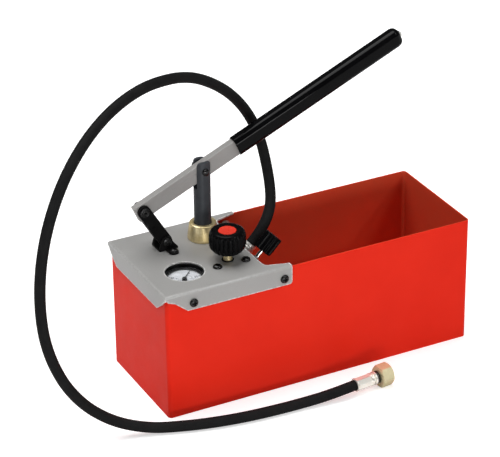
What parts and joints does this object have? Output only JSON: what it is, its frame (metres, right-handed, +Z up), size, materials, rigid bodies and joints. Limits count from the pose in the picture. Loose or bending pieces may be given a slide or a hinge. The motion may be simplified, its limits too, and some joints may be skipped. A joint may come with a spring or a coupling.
{
  "type": "hydrostatic test pump",
  "caption": "Hand-operated hydrostatic test pump: open red water tank, grey cover plate, lever-driven plunger pump, valves, gauge and a black pressure hose.",
  "frame": {"origin": "centre of the tank's underside, on the surface that the pump stands on", "axes": "+Z up, +X along the tank from the pump end to the open end, +Y from the front side to the back side"},
  "size_m": [0.6063, 0.2415, 0.4162],
  "materials": {
    "tank_red": "satin red powder coat",
    "plate_grey": "satin grey powder coat",
    "lever_grey": "satin warm grey paint",
    "black_steel": "satin black coating on steel",
    "black_plastic": "semi-gloss black",
    "gauge_black": "matt black",
    "red_plastic": "semi-gloss red",
    "rod_steel": "dark blued steel, ground",
    "brass": "matt turned brass",
    "zinc_steel": "bright zinc plate",
    "union_zinc": "yellowish zinc plate",
    "bright_chrome": "polished",
    "block_aluminium": "plain machined",
    "seal_rubber": "matt black",
    "hose_rubber": "matt black, fine fabric-wrapped surface",
    "packing_fibre": "pressed pale fibre",
    "dial_white": "printed white",
    "clear_glass": "clear"
  },
  "bodies": {
    "pump_frame": {"tank": "tank_red", "cover_plate": "plate_grey", "flange_screw_front_left": "black_steel", "flange_screw_front_right": "black_steel", "flange_screw_back_left": "black_steel", "flange_screw_back_right": "black_steel", "flange_nut_front_left": "zinc_steel", "flange_nut_front_right": "zinc_steel", "flange_nut_back_left": "zinc_steel", "flange_nut_back_right": "zinc_steel", "pump_barrel": "zinc_steel", "gland_packing": "packing_fibre", "gland_nut": "brass", "pump_foot": "brass", "suction_seat": "brass", "strainer": "zinc_steel", "riser_pipe": "zinc_steel", "riser_nut": "brass", "link_bracket": "black_steel", "bracket_pin": "black_steel", "bracket_screw_front": "black_steel", "bracket_screw_back": "black_steel", "valve_block": "block_aluminium", "block_screw_left": "black_steel", "block_screw_right": "black_steel", "valve_bonnet": "brass", "valve_ring": "seal_rubber", "bleed_bonnet": "bright_chrome", "hose_nipple": "zinc_steel", "hose_ferrule": "zinc_steel", "gauge_case": "gauge_black", "gauge_bezel": "gauge_black", "gauge_dial": "dial_white", "gauge_glass": "clear_glass", "bourdon_tube": "brass", "gauge_stem": "brass", "hose": "hose_rubber", "far_ferrule": "zinc_steel"},
    "plunger": {"plunger_rod": "rod_steel", "plunger_seal": "seal_rubber", "clevis_bolt": "black_steel", "clevis_nut": "black_steel"},
    "link": {"link_bar_front": "black_steel", "link_bar_back": "black_steel", "link_bolt": "black_steel", "link_nut": "black_steel"},
    "lever": {"lever_bar": "lever_grey", "lever_grip": "black_plastic", "grip_end_plug": "zinc_steel"},
    "valve_stem": {"valve_spindle": "zinc_steel"},
    "valve_handwheel": {"valve_knob": "black_plastic", "valve_knob_cap": "red_plastic"},
    "bleed_stem": {"bleed_spindle": "bright_chrome"},
    "bleed_handwheel": {"bleed_knob": "black_plastic"},
    "pointer": {"gauge_pointer": "gauge_black"},
    "suction_valve": {"suction_ball": "bright_chrome"},
    "delivery_valve": {"delivery_ball": "bright_chrome"},
    "union": {"union_nut": "union_zinc", "union_washer": "seal_rubber"}
  },
  "joints": [
    {"name": "link_swing", "type": "hinge", "parent": "pump_frame", "child": "link", "pos_m": [-0.16506, 0.0362, 0.1885], "axis": [0, 1, 0], "range_deg": [-12.2, 10.6]},
    {"name": "lever_pivot", "type": "hinge", "parent": "link", "child": "lever", "pos_m": [-0.19375, 0.0362, 0.23624], "axis": [0, 1, 0], "range_deg": [-23.4, 27]},
    {"name": "pump_stroke", "type": "slide", "parent": "pump_frame", "child": "plunger", "axis": [0, 0, -1], "range_m": [-0.0252, 0.0291]},
    {"name": "valve_rise", "type": "slide", "parent": "pump_frame", "child": "valve_stem", "axis": [0, 0, 1], "range_m": [0, 0.003]},
    {"name": "valve_turn", "type": "hinge", "parent": "valve_stem", "child": "valve_handwheel", "pos_m": [-0.1085, -0.033, 0.19], "axis": [0, 0, 1], "range_deg": [0, 721]},
    {"name": "bleed_rise", "type": "slide", "parent": "pump_frame", "child": "bleed_stem", "axis": [0.7071, 0, 0.7071], "range_m": [0, 0.002]},
    {"name": "bleed_turn", "type": "hinge", "parent": "bleed_stem", "child": "bleed_handwheel", "pos_m": [-0.07615, -0.038, 0.16615], "axis": [0.7071, 0, 0.7071], "range_deg": [0, 721]},
    {"name": "gauge_reading", "type": "hinge", "parent": "pump_frame", "child": "pointer", "pos_m": [-0.17, -0.0345, 0.165], "axis": [0, 0, -1], "range_deg": [0, 270], "stiffness_Nm_per_rad": 0.0005},
    {"name": "suction_lift", "type": "slide", "parent": "pump_frame", "child": "suction_valve", "axis": [0, 0, 1], "range_m": [0, 0.003]},
    {"name": "delivery_lift", "type": "slide", "parent": "pump_frame", "child": "delivery_valve", "axis": [0, 0, 1], "range_m": [0, 0.003]},
    {"name": "union_spin", "type": "hinge", "parent": "pump_frame", "child": "union", "pos_m": [0.05229, -0.1373, 0.01355], "axis": [0.9942, 0.108, 0], "continuous": true}
  ],
  "couplings": [
    {"joint": "link_swing", "follows": "lever_pivot", "ratio": -0.44444},
    {"joint": "pump_stroke", "follows": "lever_pivot", "m_per_rad": 0.061111},
    {"joint": "valve_turn", "follows": "valve_rise", "rad_per_m": 4188.8},
    {"joint": "bleed_turn", "follows": "bleed_rise", "rad_per_m": 6283.2}
  ]
}
